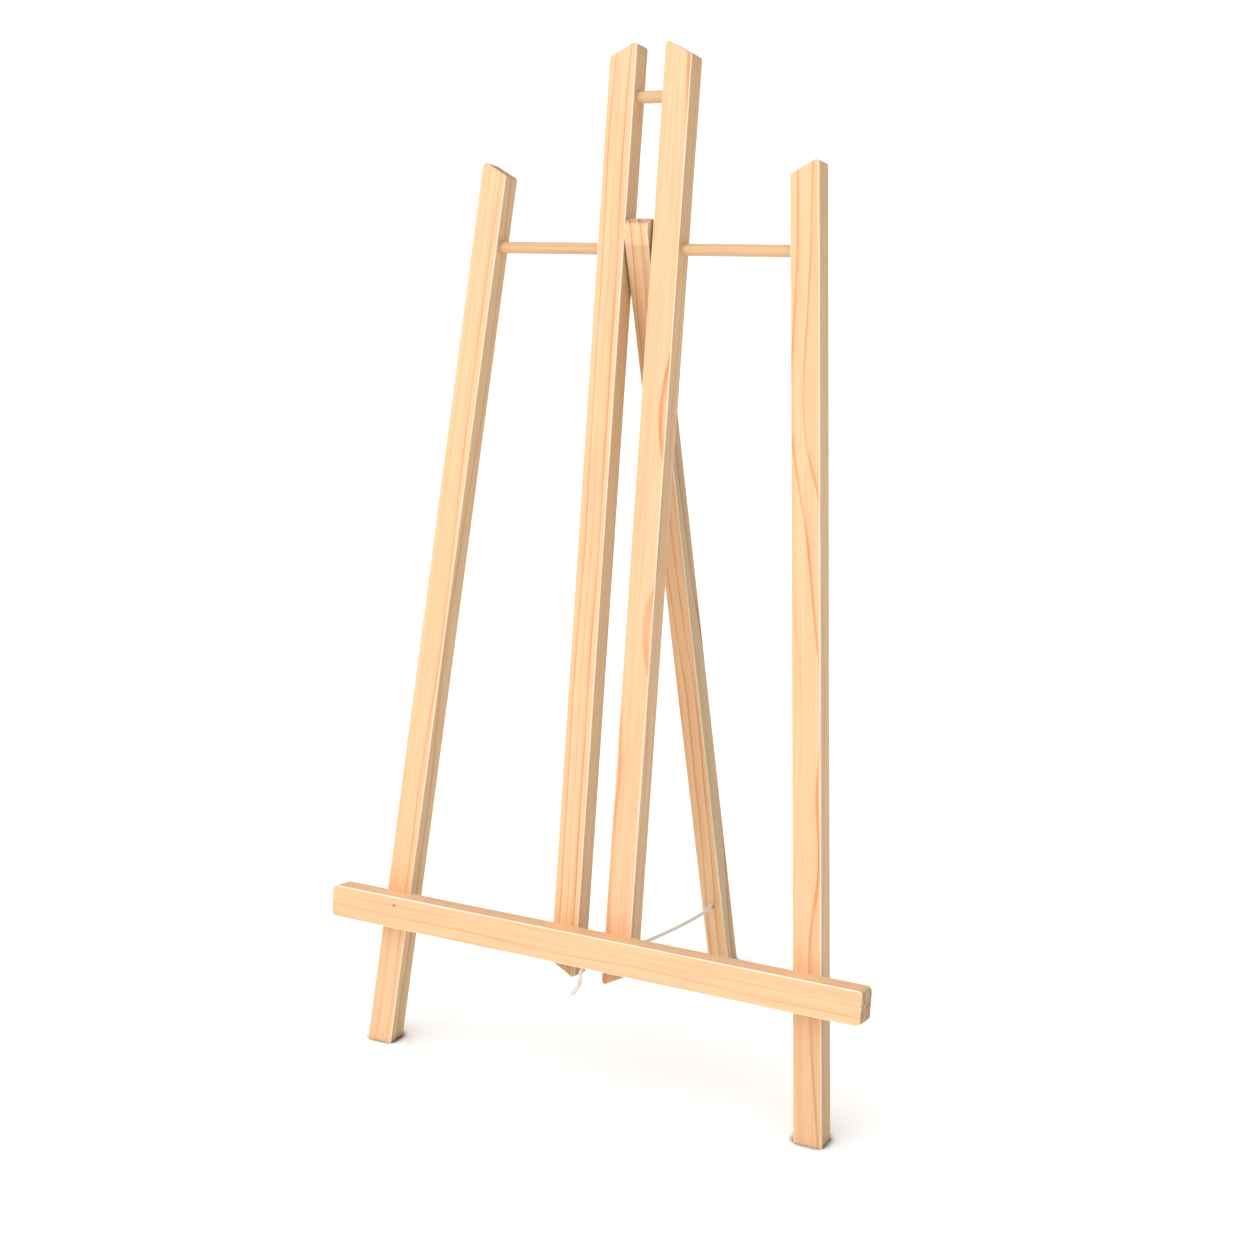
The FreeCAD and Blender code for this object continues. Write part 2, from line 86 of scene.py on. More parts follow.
def make_camera():
    ahead = Vector((-math.sin(CAMERA_YAW) * math.cos(CAMERA_PITCH),
                    math.cos(CAMERA_YAW) * math.cos(CAMERA_PITCH), math.sin(CAMERA_PITCH)))
    level = Vector((math.cos(CAMERA_YAW), math.sin(CAMERA_YAW), 0))
    upward = level.cross(ahead)
    right = math.cos(CAMERA_ROLL) * level + math.sin(CAMERA_ROLL) * upward
    top = -math.sin(CAMERA_ROLL) * level + math.cos(CAMERA_ROLL) * upward
    camera = bpy.data.objects.new("camera", bpy.data.cameras.new("camera"))
    camera.data.lens = CAMERA_LENS
    camera.data.sensor_width = CAMERA_SENSOR
    turn = Matrix((right, top, -ahead)).transposed().to_4x4()
    camera.matrix_world = Matrix.Translation(CAMERA_PLACE) @ turn
    bpy.context.scene.collection.objects.link(camera)
    bpy.context.scene.camera = camera


# ---------------------------------------------------------------- node trees

def new_material(name):
    material = bpy.data.materials.new(name)
    material.use_nodes = True
    tree = material.node_tree
    tree.nodes.clear()
    output = tree.nodes.new("ShaderNodeOutputMaterial")
    shader = tree.nodes.new("ShaderNodeBsdfPrincipled")
    tree.links.new(shader.outputs[0], output.inputs[0])
    return material, tree, shader


class Wiring:
    """Short calls for the node trees: each returns an output socket."""

    def __init__(self, tree):
        self.tree = tree

    def feed(self, socket, value):
        if isinstance(value, bpy.types.NodeSocket):
            self.tree.links.new(value, socket)
        else:
            socket.default_value = value

    def math(self, operation, *values, clamp=False):
        node = self.tree.nodes.new("ShaderNodeMath")
        node.operation = operation
        node.use_clamp = clamp
        for socket, value in zip(node.inputs, values):
            self.feed(socket, value)
        return node.outputs[0]

    def vector(self, operation, *values):
        node = self.tree.nodes.new("ShaderNodeVectorMath")
        node.operation = operation
        for socket, value in zip(node.inputs, values):
            self.feed(socket, value)
        return node.outputs[1 if operation == "DOT_PRODUCT" else 0]

    def combine(self, x, y, z):
        node = self.tree.nodes.new("ShaderNodeCombineXYZ")
        for socket, value in zip(node.inputs, (x, y, z)):
            self.feed(socket, value)
        return node.outputs[0]

    def noise(self, place, detail=2.0, roughness=0.5, distortion=0.0):
        """Noise from 0 to 1 with one cell per unit of place."""
        node = self.tree.nodes.new("ShaderNodeTexNoise")
        self.feed(node.inputs["Vector"], place)
        node.inputs["Scale"].default_value = 1.0
        node.inputs["Detail"].default_value = detail
        node.inputs["Roughness"].default_value = roughness
        node.inputs["Distortion"].default_value = distortion
        return node.outputs[0]

    def step(self, value, start, end, low=0.0, high=1.0):
        """A smooth step from low at start to high at end."""
        node = self.tree.nodes.new("ShaderNodeMapRange")
        node.interpolation_type = "SMOOTHSTEP"
        for socket, item in zip(node.inputs, (value, start, end, low, high)):
            self.feed(socket, item)
        return node.outputs[0]

    def mix(self, share, first, second):
        """A colour from the first to the second as share goes from 0 to 1."""
        node = self.tree.nodes.new("ShaderNodeMix")
        node.data_type = "RGBA"
        for socket, value in ((node.inputs[0], share), (node.inputs[6], first),
                              (node.inputs[7], second)):
            self.feed(socket, value)
        return node.outputs[2]

    def scaled_mix(self, share, strength, first, second):
        """The same, with the share made smaller or larger, and held within 0 and 1."""
        return self.mix(self.math("MULTIPLY", share, strength, clamp=True), first, second)

    def length(self, first, second):
        """The length of a step of first one way and second square to it."""
        squares = [self.math("POWER", value, 2.0) for value in (first, second)]
        return self.math("SQRT", self.math("ADD", *squares))

    def bump(self, height, distance, strength=1.0, normal=None):
        node = self.tree.nodes.new("ShaderNodeBump")
        node.inputs["Distance"].default_value = distance
        node.inputs["Strength"].default_value = strength
        self.feed(node.inputs["Height"], height)
        if normal:
            self.feed(node.inputs["Normal"], normal)
        return node.outputs[0]


def colour(red, green, blue):
    """A linear colour from sRGB values of 0 to 255."""
    return tuple(((value / 255 + 0.055) / 1.055) ** 2.4 for value in (red, green, blue)) + (1.0,)


def paint(obj, material):
    obj.data.materials.clear()
    obj.data.materials.append(material)


# ---------------------------------------------------------------- pine

EARLY_WOOD = colour(244, 200, 156)
LATE_WOOD = colour(212, 138, 78)
PINK_WOOD = colour(238, 181, 139)
YELLOW_WOOD = colour(236, 193, 143)
END_WOOD = colour(236, 208, 172)
END_PORE = colour(204, 164, 122)
END_DARK = colour(112, 76, 44)
# The next colour is a painted highlight along the long edges.
EDGE_HIGHLIGHT = colour(255, 243, 220)
KNOT_WOOD = colour(92, 54, 30)
DUCT_WOOD = colour(186, 116, 64)
BARE = (1.0, 1.0, 1.0)
SIDE_SHADE = (0.79, 0.86, 0.84)   # painted shade: the faces beside the front are a little darker and greyer than the front


class Pine(Wiring):
    """The patterns of a piece of pine, in millimetres from its origin in its own directions.

    x runs across its front, y out of the front, and z along the grain.
    """

    def __init__(self, tree, origin, along, out, seed):
        super().__init__(tree)
        self.seed = seed
        across = along.cross(out).normalized()
        directions = [tuple(direction) for direction in (across, out, along)]
        source = tree.nodes.new("ShaderNodeTexCoord")
        offset = self.vector("SUBTRACT", source.outputs["Object"], tuple(origin))
        self.x, self.y, self.z = (
            self.math("MULTIPLY", self.vector("DOT_PRODUCT", offset, direction), 1 / MM)
            for direction in directions)
        towards = [self.vector("DOT_PRODUCT", source.outputs["Normal"], direction)
                   for direction in directions]
        self.face_x, self.face_y, self.face_z = (self.math("ABSOLUTE", part) for part in towards)
        self.front = towards[1]

    def streaks(self, width, length, detail=2.0, roughness=0.5, shift=0.0):
        """Noise drawn out along the grain: width and length of its cells in millimetres."""
        along = self.math("ADD", self.math("MULTIPLY", self.z, 1 / length), self.seed + shift)
        place = self.combine(self.math("MULTIPLY", self.x, 1 / width),
                             self.math("MULTIPLY", self.y, 1 / width), along)
        return self.noise(place, detail, roughness)

    def drift(self, reach, shift):
        """A slow wander of the pith along the piece, up to about reach millimetres each way."""
        along = self.math("MULTIPLY", self.z, 1 / 260)
        wander = self.noise(self.combine(self.seed, shift, along), 1.0)
        return self.math("MULTIPLY", self.math("SUBTRACT", wander, 0.5), 2 * reach)

    def from_knot(self, across, along):
        """Distance from a pin knot, which is drawn out along the grain."""
        return self.length(self.math("SUBTRACT", self.x, across),
                           self.math("MULTIPLY", self.math("SUBTRACT", self.z, along), 0.4))

    def rings(self, pith, ring, wander, contrast, knot_distance):
        """The late wood of the growth rings: its broad summer part and its dark last line."""
        from_x = self.math("ADD", self.math("SUBTRACT", self.x, pith[0]), self.drift(2 * wander, 3.1))
        from_y = self.math("ADD", self.math("SUBTRACT", self.y, pith[1]), self.drift(2 * wander, 7.7))
        radius = self.math("ADD", self.length(from_x, from_y),
                           self.math("MULTIPLY", self.streaks(9.0, 130.0), 1.8))
        if knot_distance:
            swirl = self.step(knot_distance, 0.0, 5.0, 1.0, 0.0)
            radius = self.math("ADD", radius, self.math("MULTIPLY", swirl, 0.25 * ring))
        # Rings differ in width: the count is bent by a slow noise of the radius.
        bent = self.noise(self.combine(self.math("MULTIPLY", radius, 0.4 / ring), self.seed, 0.0), 1.0)
        count = self.math("ADD", self.math("MULTIPLY", radius, 1 / ring),
                          self.math("MULTIPLY", bent, 2.0))
        part = self.math("FRACT", count)
        number = self.math("FLOOR", count)
        # Some rings are strong and some faint, and each comes and goes along the piece.
        strength = self.noise(self.combine(self.math("MULTIPLY", number, 5.37), self.seed, 1.5), 0.0)
        strength = self.math("MULTIPLY", self.step(strength, 0.3, 0.7, 0.12, 1.0), contrast)
        strength = self.math("MULTIPLY", strength,
                             self.step(self.streaks(9.0, 110.0, shift=4.0), 0.3, 0.65, 0.45, 1.0))
        summer = self.math("MULTIPLY", self.math("POWER", part, 2.6), self.step(part, 1.0, 0.93))
        line = self.math("MULTIPLY", self.step(part, 0.80, 0.90), self.step(part, 0.985, 0.93))
        return self.math("MULTIPLY", summer, strength), self.math("MULTIPLY", line, strength)

    def end_checks(self):
        """Wavy cracks in the end grain, across the front's width."""
        torn = self.noise(self.combine(self.math("MULTIPLY", self.x, 0.07),
                                       self.math("MULTIPLY", self.y, 0.34), self.seed), 3.0, 0.6, 1.2)
        from_crack = self.math("ABSOLUTE", self.math("SUBTRACT", torn, 0.5))
        return self.step(from_crack, 0.0, 0.035, 1.0, 0.0)


def make_pine(name, origin, along, out, pith, ring=7.0, seed=0.0, warmth=0.5, wander=4.0,
              contrast=1.0, end_depth=0.3, side_shade=SIDE_SHADE, edge_sheen_and_side_shade=True, tint=BARE,
              above=None, fade=1.5, knot=None):
    """Pine with growth rings round a pith line, in the piece's own directions.

    along is the grain, out the normal of the front, pith the pith's place from the origin
    (across, out) in millimetres, and ring the width of a growth ring. warmth goes from
    yellowish to pinkish wood. end_depth is how much darker the end grain shows, side_shade a
    painted shade on the two faces beside the front, and edge_sheen_and_side_shade turns on that
    shade, a painted highlight along the long edges and their smoother finish. tint multiplies
    the wood's colour: below the place `above` along the grain, if one is given, it is painted
    shade, with a soft end `fade` long each way; without `above` it is the piece's own tone.
    knot is an optional pin knot in the front: (across, along, radius) in millimetres.
    """
    material, tree, shader = new_material(name)
    w = Pine(tree, origin, along, out, seed)
    knot_distance = w.from_knot(knot[0], knot[1]) if knot else None
    summer, line = w.rings(pith, ring, wander, contrast, knot_distance)

    # Fibres, streaks and slow tone changes.
    fibre = w.streaks(0.42, 26.0, 4.0, 0.6)
    streak = w.streaks(3.4, 210.0, 3.0, 0.6, 9.0)
    blotch = w.streaks(20.0, 75.0, 2.0, 0.5, 2.0)
    tone = w.math("ADD", w.math("MULTIPLY", w.math("SUBTRACT", blotch, 0.5), 1.8), warmth, clamp=True)
    wood = w.mix(tone, YELLOW_WOOD, PINK_WOOD)
    wood = w.mix(w.step(streak, 0.36, 0.64, 0.10, 0.85), wood, EARLY_WOOD)
    wood = w.scaled_mix(summer, 0.42, wood, LATE_WOOD)
    wood = w.scaled_mix(line, 0.85, wood, LATE_WOOD)
    wood = w.mix(w.step(fibre, 0.48, 0.22, 0.0, 0.16), wood, LATE_WOOD)

    # Resin ducts: short fine dashes along the grain.
    duct = w.step(w.streaks(0.55, 8.0, 0.0, shift=6.0), 0.80, 0.86)
    wood = w.scaled_mix(duct, 0.4, wood, DUCT_WOOD)

    # End grain: coarser, with the rings and small checks standing out.
    end = w.step(w.face_z, 0.60, 0.88)
    pores = w.streaks(0.3, 2.0, 3.0, 0.7)
    checks = w.end_checks()
    end_wood = w.mix(w.step(pores, 0.30, 0.70), END_PORE, END_WOOD)
    end_wood = w.scaled_mix(summer, 0.9, end_wood, END_DARK)
    end_wood = w.mix(checks, end_wood, END_DARK)
    wood = w.scaled_mix(end, end_depth, wood, end_wood)

    # Painted shade on the sides, and a painted highlight that makes the rounded long edges paler; the
    # edges are also smoother.
    if edge_sheen_and_side_shade:
        edge = w.step(w.math("MINIMUM", w.face_x, w.face_y), 0.16, 0.5)
        edge = w.math("MULTIPLY", edge, w.step(blotch, 0.25, 0.6, 0.6, 1.0))
        wood = w.mix(w.step(w.face_x, 0.75, 0.95), wood, w.vector("MULTIPLY", wood, side_shade))
        wood = w.scaled_mix(edge, 0.95, wood, EDGE_HIGHLIGHT)
    if knot:
        radius = knot[2]
        on_front = w.step(w.front, 0.5, 0.8)
        halo = w.step(knot_distance, 3.0 * radius, radius, 0.0, 0.3)
        dark = w.step(knot_distance, radius, 0.55 * radius)
        wood = w.mix(w.math("MULTIPLY", halo, on_front), wood, DUCT_WOOD)
        wood = w.mix(w.math("MULTIPLY", dark, on_front), wood, KNOT_WOOD)
    # With `above`, the tint is painted shade below that place; without it, it is the piece's own tone.
    toned_and_shaded = w.vector("MULTIPLY", wood, tint)
    if above is not None:
        toned_and_shaded = w.mix(w.step(w.z, above - fade, above + fade), toned_and_shaded, wood)
    w.feed(shader.inputs["Base Color"], toned_and_shaded)

    rough = w.math("ADD", w.step(fibre, 0.3, 0.7, 0.42, 0.54), w.math("MULTIPLY", end, 0.25))
    if edge_sheen_and_side_shade:
        rough = w.math("SUBTRACT", rough, w.math("MULTIPLY", edge, 0.18))
        w.feed(shader.inputs["Coat Weight"], w.math("MULTIPLY", edge, 0.5))
    w.feed(shader.inputs["Roughness"], rough)
    shader.inputs["Specular IOR Level"].default_value = 0.4
    shader.inputs["Coat Roughness"].default_value = 0.22

    # Relief: late wood stands a little proud, fibres are fine, end grain is rough.
    relief = w.math("ADD", w.math("MULTIPLY", summer, 0.6), fibre)
    relief = w.math("SUBTRACT", relief, w.math("MULTIPLY", duct, 0.8))
    fine = w.bump(relief, 0.05 * MM, 0.8)
    ridges = w.math("SUBTRACT", w.math("ADD", pores, w.math("MULTIPLY", summer, 1.5)),
                    w.math("MULTIPLY", checks, 1.5))
    w.feed(shader.inputs["Normal"], w.bump(w.math("MULTIPLY", ridges, end), 0.5 * MM, 0.9, fine))
    return material


def paint_wood():
    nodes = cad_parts
    ledge_height = middle("ledge").z
    # Painted shade: the legs are darker below the ledge.
    for name, side, looks in (
            ("left_leg", -1, dict(pith=(-60, -32), ring=8.0, seed=2.3, warmth=0.42,
                                  tint=(0.93, 0.94, 0.93))),
            ("right_leg", 1, dict(pith=(46, -58), ring=8.5, seed=9.1, warmth=0.40, wander=10.0,
                                  tint=(0.88, 0.86, 0.82)))):
        along = Matrix.Rotation(side * LEG_SPLAY, 3, FRONT) @ UP_SLOPE
        ledge_at = (ledge_height - middle(name).z) / along.z / MM
        paint(nodes[name], make_pine("pine_" + name, middle(name), along, FRONT,
                                     above=ledge_at, fade=16.0, **looks))
    # Painted shade: the uprights are darker and greyer below the ledge, under it.
    for name, looks in (
            ("left_upright", dict(pith=(-80, -16), ring=7.5, seed=14.6, warmth=0.50, contrast=1.15)),
            ("right_upright", dict(pith=(34, -66), ring=10.0, seed=23.4, warmth=0.55, wander=9.0,
                                   contrast=0.9))):
        ledge_at = (ledge_height - middle(name).z) / UP_SLOPE.z / MM
        paint(nodes[name], make_pine("pine_" + name, middle(name), UP_SLOPE, FRONT,
                                     tint=(0.66, 0.68, 0.60), above=ledge_at, fade=14.0, **looks))
    paint(nodes["ledge"], make_pine(
        "pine_ledge", middle("ledge"), ACROSS, FRONT, pith=(-74, 34), ring=8.5, seed=31.4,
        warmth=0.50, wander=6.0, contrast=1.35, end_depth=0.9, side_shade=BARE,
        knot=(-6.4, -187.8, 0.7)))
    # Painted shade: the rear leg is darker below its head, which stands above the long dowel.
    head = (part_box("cross_dowel")[1].z - middle("rear_leg").z) / UP_REAR.z / MM
    paint(nodes["rear_leg"], make_pine(
        "pine_rear_leg", middle("rear_leg"), UP_REAR, REAR_FRONT, pith=(62, -26), ring=8.0,
        seed=41.6, warmth=0.36, contrast=1.5, end_depth=0.1, tint=(0.80, 0.81, 0.78),
        above=head + 2.0))
    for name, seed in (("cross_dowel", 51.5), ("top_dowel", 58.3)):
        paint(nodes[name], make_pine(
            "pine_" + name, middle(name), ACROSS, FRONT, pith=(22, 30), ring=3.0, seed=seed,
            warmth=0.5, wander=2.0, contrast=0.6, edge_sheen_and_side_shade=False, tint=(0.80, 0.83, 0.80)))


# ---------------------------------------------------------------- steel

def paint_steel():
    """Bright zinc plate with faint drawing marks and dull patches."""
    material, tree, shader = new_material("zinc_plate")
    w = Wiring(tree)
    place = tree.nodes.new("ShaderNodeTexCoord").outputs["Object"]
    patches = w.noise(w.vector("MULTIPLY", place, (900.0, 900.0, 900.0)), 3.0)
    w.feed(shader.inputs["Base Color"], w.mix(patches, colour(176, 178, 184), colour(222, 222, 218)))
    w.feed(shader.inputs["Roughness"], w.step(patches, 0.3, 0.7, 0.24, 0.42))
    shader.inputs["Metallic"].default_value = 1.0
    marks = w.noise(w.vector("MULTIPLY", place, (6000.0, 900.0, 6000.0)), 2.0)
    w.feed(shader.inputs["Normal"], w.bump(marks, 0.01 * MM, 0.5))
    for name in ("cord_staple", "ledge_screws"):
        paint(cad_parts[name], material)


# ---------------------------------------------------------------- cord

CORD_DIAMETER = 3.5 * MM

# From the knot at the rear leg's back, through the leg and under the ledge, to the cut end.
CORD_ROUTE = [
    (0.0, 0.134742, 0.070639),
    (0.0, 0.110235, 0.065698),
    (0.0, 0.061, 0.0713),
    (0.0, 0.012, 0.0796),
    (0.0, -0.036, 0.089),
    (0.0, -0.080, 0.09835),
    (0.0, -0.108, 0.10475),
    (0.0, -0.125, 0.10836),
    (0.0, -0.1373, 0.11075),
    (-0.0004, -0.1413, 0.1074),
    (-0.0014, -0.1414, 0.0994),
    (-0.0042, -0.1413, 0.0912),
    (-0.0098, -0.1414, 0.0850),
]

REAR_DEPTH = 20 * MM             # of the rear leg, which the cord goes through
STAPLE_Y = -0.1327               # where the staple holds the cord under the ledge
YARNS = 8                        # yarns each way round the braid
YARN_LAY = 7.0 * MM              # along the cord, for half a turn of a yarn round it
RING_STEP = 0.3 * MM             # between the rings of the cord's mesh
RING_POINTS = 48
BRAID_RELIEF = 0.12              # depth of the braid's hollows, as a share of the radius
END_HEIGHT = 0.3                 # of the braid at a cut end, for its colour

# The tail, from the staple: millimetres along it, and shares of the radius.
NECK_AT, NECK_WIDTH, NECK_DEPTH = 13.5, 1.6, 0.10
FULLER_FROM, FULLER_TO, FULLER_BY = 16.0, 19.0, 0.20
COLLAR_AT, COLLAR_WIDTH, COLLAR_HEIGHT = 18.0, 0.8, 0.10

# The knot behind the rear leg: (across, down, back) in millimetres from the hole's back mouth.
# It comes out of the hole, coils away from the leg, and ends in a short hanging tail.
KNOT_IN = [(0, 0, -3.0), (0, 0, -0.8), (0, 0.4, 1.6)]
KNOT_TURNS, KNOT_POINTS_PER_TURN, KNOT_RADIUS = 1.6, 10, 3.3
KNOT_START, KNOT_DEPTH = 2.2, 3.4
KNOT_OUT = [(-1.6, -1.8, 7.0), (0.2, 0.6, 8.2), (1.2, 2.6, 10.0), (1.6, 5.4, 11.6), (1.2, 8.0, 12.0)]


def make_cotton():
    """Off-white cotton yarn: the braid's hollows are painted darker as shade, and fine fibres catch the
    light.
    """
    material, tree, shader = new_material("cotton_braid")
    w = Wiring(tree)
    place = tree.nodes.new("ShaderNodeTexCoord").outputs["Object"]
    height = tree.nodes.new("ShaderNodeAttribute")
    height.attribute_name = "yarn_height"
    fibre = w.noise(w.vector("MULTIPLY", place, (7000.0, 2500.0, 7000.0)), 3.0, 0.65)
    soil = w.noise(w.vector("MULTIPLY", place, (90.0, 60.0, 90.0)), 2.0)
    # Painted shade: the braid's hollows are darker than the crowns of its yarns.
    yarn = w.mix(w.step(height.outputs["Fac"], 0.15, 0.75), colour(172, 163, 146), colour(235, 228, 217))
    yarn = w.mix(w.step(fibre, 0.35, 0.75, 0.0, 0.5), yarn, colour(246, 242, 234))
    yarn = w.mix(w.step(soil, 0.5, 0.75, 0.0, 0.3), yarn, colour(206, 194, 170))
    w.feed(shader.inputs["Base Color"], yarn)
    shader.inputs["Roughness"].default_value = 0.82
    shader.inputs["Sheen Weight"].default_value = 0.35
    shader.inputs["Sheen Roughness"].default_value = 0.5
    w.feed(shader.inputs["Normal"], w.bump(fibre, 0.08 * MM, 0.7))
    return material


def smooth(value, start, end):
    """A smooth step from 0 at start to 1 at end."""
    share = min(max((value - start) / (end - start), 0.0), 1.0)
    return share * share * (3 - 2 * share)


def bell(value, centre, width):
    return math.exp(-((value - centre) / width) ** 2)


def smooth_line(points):
    """Points read from the NURBS spline with these control points."""
    curve = bpy.data.curves.new("route", "CURVE")
    curve.dimensions = "3D"
    curve.resolution_u = 24
    spline = curve.splines.new("NURBS")
    spline.points.add(len(points) - 1)
    for point, place in zip(spline.points, points):
        point.co = (*place, 1.0)
    spline.order_u = 3
    spline.use_endpoint_u = True
    carrier = bpy.data.objects.new("route", curve)
    mesh = bpy.data.meshes.new_from_object(carrier)
    line = [vertex.co.copy() for vertex in mesh.vertices]
    bpy.data.meshes.remove(mesh)
    bpy.data.objects.remove(carrier)
    bpy.data.curves.remove(curve)
    return line


def spaced(line, step):
    """The line again with even spacing, and the distance along it at each point."""
    runs = [(b - a).length for a, b in zip(line, line[1:])]
    total = sum(runs)
    count = max(2, round(total / step))
    places, distances = [line[0].copy()], [0.0]
    index, passed = 0, 0.0
    for number in range(1, count + 1):
        target = total * number / count
        while index < len(runs) - 1 and passed + runs[index] < target:
            passed += runs[index]
            index += 1
        share = (target - passed) / max(runs[index], 1e-12)
        places.append(line[index].lerp(line[index + 1], min(share, 1.0)))
        distances.append(target)
    return places, distances


def frames_along(places):
    """A steady pair of side directions at each point."""
    ahead = [(b - a).normalized() for a, b in zip(places, places[1:])]
    ahead.append(ahead[-1])
    side = ahead[0].orthogonal().normalized()
    pairs = []
    for direction in ahead:
        side = (side - side.dot(direction) * direction).normalized()
        pairs.append((side.copy(), direction.cross(side)))
    return pairs


def measured(line):
    """Even places along a line, the distance to each and the side directions there."""
    places, distances = spaced(line, RING_STEP)
    return places, distances, frames_along(places)


def braid_height(turn, distance):
    """Height of a round braid, from 0 in the hollows to 1: two sets of yarns over and under."""
    first = turn * YARNS + distance * YARNS / YARN_LAY / 2
    second = turn * YARNS - distance * YARNS / YARN_LAY / 2
    heights = []
    for own, other, sign in ((first, second, 1), (second, first, -1)):
        number = round(own)
        ridge = math.cos(math.pi * (own - number))
        wave = sign * math.cos(math.pi * other) * (-1) ** number
        heights.append(ridge * (0.6 + 0.4 * wave))
    return max(heights)


def even(distance):
    return 1.0


def braided_tube(name, route, start, end, swell, cotton):
    """The stretch of a measured route from one distance to another, as a closed braided tube.

    swell(distance) scales its radius. Returns the piece and the points that it follows.
    """
    rings = [ring for ring in zip(*route) if start - RING_STEP / 2 <= ring[1] <= end + RING_STEP / 2]
    vertices, heights = [], []
    for place, distance, (side, top) in rings:
        radius = CORD_DIAMETER / 2 * swell(distance)
        for index in range(RING_POINTS):
            turn = index / RING_POINTS
            height = braid_height(turn, distance)
            reach = radius * (1 - BRAID_RELIEF + BRAID_RELIEF * height)
            angle = 2 * math.pi * turn
            vertices.append(place + reach * (math.cos(angle) * side + math.sin(angle) * top))
            heights.append(height)
    faces = []
    for ring in range(len(rings) - 1):
        for index in range(RING_POINTS):
            beside = (index + 1) % RING_POINTS
            low, high = ring * RING_POINTS, (ring + 1) * RING_POINTS
            faces.append((low + index, low + beside, high + beside, high + index))
    for ring, order in ((0, -1), (len(rings) - 1, 1)):
        centre = len(vertices)
        vertices.append(rings[ring][0].copy())
        heights.append(END_HEIGHT)
        for index in range(RING_POINTS):
            corners = (ring * RING_POINTS + index, ring * RING_POINTS + (index + 1) % RING_POINTS)
            faces.append((*corners[::order], centre))
    mesh = bpy.data.meshes.new(name)
    mesh.from_pydata(vertices, [], faces)
    mesh.attributes.new("yarn_height", "FLOAT", "POINT").data.foreach_set("value", heights)
    mesh.polygons.foreach_set("use_smooth", [True] * len(mesh.polygons))
    piece = bpy.data.objects.new(name, mesh)
    bpy.context.scene.collection.objects.link(piece)
    paint(piece, cotton)
    return piece, [tuple(ring[0]) for ring in rings]


def knot_route(start):
    """From inside the hole, out of the rear leg's back, about one and a half turns, and a tail."""
    back = -REAR_FRONT
    down = back.cross(ACROSS).normalized()
    if down.z > 0:
        down = -down
    spots = list(KNOT_IN)
    for step in range(round(KNOT_TURNS * KNOT_POINTS_PER_TURN)):
        angle = 2 * math.pi * step / KNOT_POINTS_PER_TURN
        rise = KNOT_START + KNOT_DEPTH * step / (KNOT_TURNS * KNOT_POINTS_PER_TURN)
        spots.append((KNOT_RADIUS * math.sin(angle), KNOT_RADIUS * math.cos(angle), rise))
    spots += KNOT_OUT
    return [start + MM * (a * ACROSS + b * down + c * back) for a, b, c in spots]


def fold_span(span):
    """Give the span a mesh of its own."""
    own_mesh(span)


def make_cord():
    """The cord in pieces that meet: the knot and the stretch in the hole, the span, the tail."""
    cotton = make_cotton()
    route = measured(smooth_line(CORD_ROUTE))
    places, distances, _ = route
    total = distances[-1]
    mouth_at = REAR_DEPTH
    staple_at = next(d for place, d in zip(places, distances) if place.y < STAPLE_Y)

    span, span_path = braided_tube("cord_span", route, mouth_at, staple_at, even, cotton)
    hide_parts("cord")
    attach(span, "frame")
    fold_span(span)

    def tail_swell(distance):
        """Drawn in at a neck, with a collar below it, then fuller to the cut end."""
        beyond = (distance - staple_at) / MM
        return (1.0 + FULLER_BY * smooth(beyond, FULLER_FROM, FULLER_TO)
                - NECK_DEPTH * bell(beyond, NECK_AT, NECK_WIDTH)
                + COLLAR_HEIGHT * bell(beyond, COLLAR_AT, COLLAR_WIDTH))

    tail, tail_path = braided_tube("cord_tail", route, staple_at, total, tail_swell, cotton)
    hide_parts("cord")
    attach(tail, "frame")

    stub, _ = braided_tube("cord_in_hole", route, 0.0, mouth_at, even, cotton)
    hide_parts("cord")
    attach(stub, "rear_leg")

    lump = measured(smooth_line(knot_route(places[0])))
    knot, _ = braided_tube("knot", lump, 0.0, lump[1][-1], even, cotton)
    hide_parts("cord_knot")
    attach(knot, "rear_leg")


# ---------------------------------------------------------------- studio

FLOOR_REACH = 60.0
FLOOR_DROP = 0.0001              # below the feet, so that the two don't flicker
FLOOR_PALE = colour(245, 245, 245), colour(248, 248, 248)
CONTACT_SHADOW_REACH = 0.010            # how far the painted contact shadow round each foot spreads
# The floor's colour darkens to this close to the feet: a painted contact shadow.
CONTACT_SHADOW = colour(84, 82, 80)
SKY_DIM, SKY_BRIGHT = 0.08, 1.30
SKY_LIGHT_FROM = (-0.15, -0.35, 0.92)
BACKDROP = 1.02                  # brightness of the white behind the easel


def make_floor():
    material, tree, shader = new_material("pale_floor")
    w = Wiring(tree)
    place = tree.nodes.new("ShaderNodeTexCoord").outputs["Object"]
    mottle = w.noise(w.vector("MULTIPLY", place, (2.0, 2.0, 2.0)), 2.0)
    # Painted shadow: ambient occlusion darkens the floor's own colour where something stands close above
    # it, round the feet.
    contact = tree.nodes.new("ShaderNodeAmbientOcclusion")
    contact.samples = 8
    contact.inputs["Distance"].default_value = CONTACT_SHADOW_REACH
    w.feed(shader.inputs["Base Color"], w.mix(w.step(contact.outputs["AO"], 0.5, 0.92),
                                              CONTACT_SHADOW, w.mix(mottle, *FLOOR_PALE)))
    shader.inputs["Roughness"].default_value = 0.9
    shader.inputs["Specular IOR Level"].default_value = 0.1
    mesh = bpy.data.meshes.new("floor")
    corners = [(x * FLOOR_REACH, y * FLOOR_REACH, 0) for x, y in ((-1, -1), (1, -1), (1, 1), (-1, 1))]
    mesh.from_pydata(corners, [], [(0, 1, 2, 3)])
    mesh.materials.append(material)
    floor = bpy.data.objects.new("floor", mesh)
    floor.location.z = -FLOOR_DROP
    bpy.context.scene.collection.objects.link(floor)
    return floor


